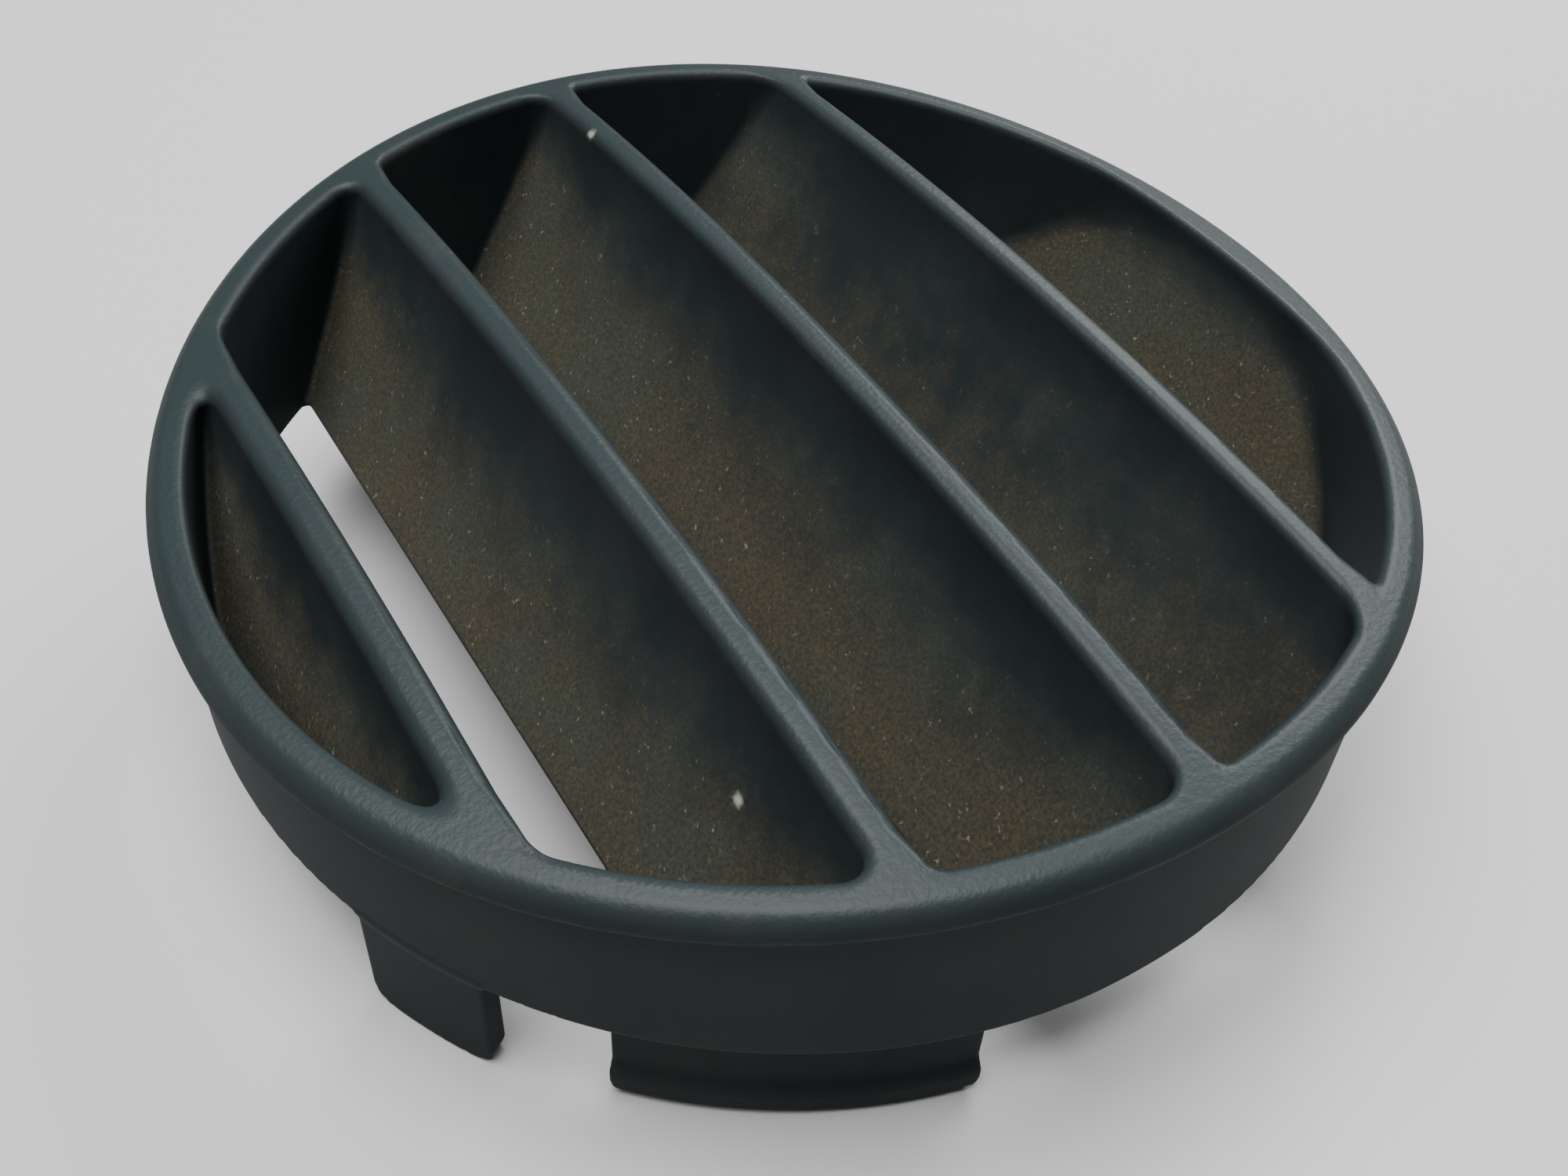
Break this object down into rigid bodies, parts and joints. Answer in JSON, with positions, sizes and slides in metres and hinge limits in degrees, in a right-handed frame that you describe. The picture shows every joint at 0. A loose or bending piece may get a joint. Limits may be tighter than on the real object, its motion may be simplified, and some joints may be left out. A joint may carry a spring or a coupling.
{
  "type": "air diffuser insert",
  "caption": "Round domed air diffuser insert with fixed slanted louvres in a short collar, snap hooks that flex inwards and locating lugs under its lower edge.",
  "frame": {"origin": "centre of the circle that the hooks and lugs stand on", "axes": "+Z out of the domed face along the collar's axis, +Y along the louvres, +X across them; the louvres' lower edges lean towards -X"},
  "size_m": [0.065, 0.065, 0.021],
  "materials": {
    "face_plastic": "fine spark-eroded grain, satin",
    "louvre_plastic": "fine spark-eroded grain, dusty",
    "collar_plastic": "fine matt grain"
  },
  "bodies": {
    "root": {"face_ring": "face_plastic", "collar": "collar_plastic", "louvre_1": "louvre_plastic", "louvre_2": "louvre_plastic", "louvre_3": "louvre_plastic", "louvre_4": "louvre_plastic", "end_louvre": "louvre_plastic", "hook_root_1": "collar_plastic", "hook_root_2": "collar_plastic", "locating_lug_1": "collar_plastic", "locating_lug_2": "collar_plastic"},
    "hook_1": {"snap_hook_1": "collar_plastic"},
    "hook_2": {"snap_hook_2": "collar_plastic"}
  },
  "joints": [
    {"name": "hook_flex_1", "type": "hinge", "parent": "root", "child": "hook_1", "pos_m": [-0.01379, -0.02437, 0.007], "axis": [0.8704, -0.4924, 0], "range_deg": [0, 5], "stiffness_Nm_per_rad": 2.9},
    {"name": "hook_flex_2", "type": "hinge", "parent": "root", "child": "hook_2", "pos_m": [0.01379, 0.02437, 0.007], "axis": [-0.8704, 0.4924, 0], "range_deg": [0, 5], "stiffness_Nm_per_rad": 2.9}
  ]
}
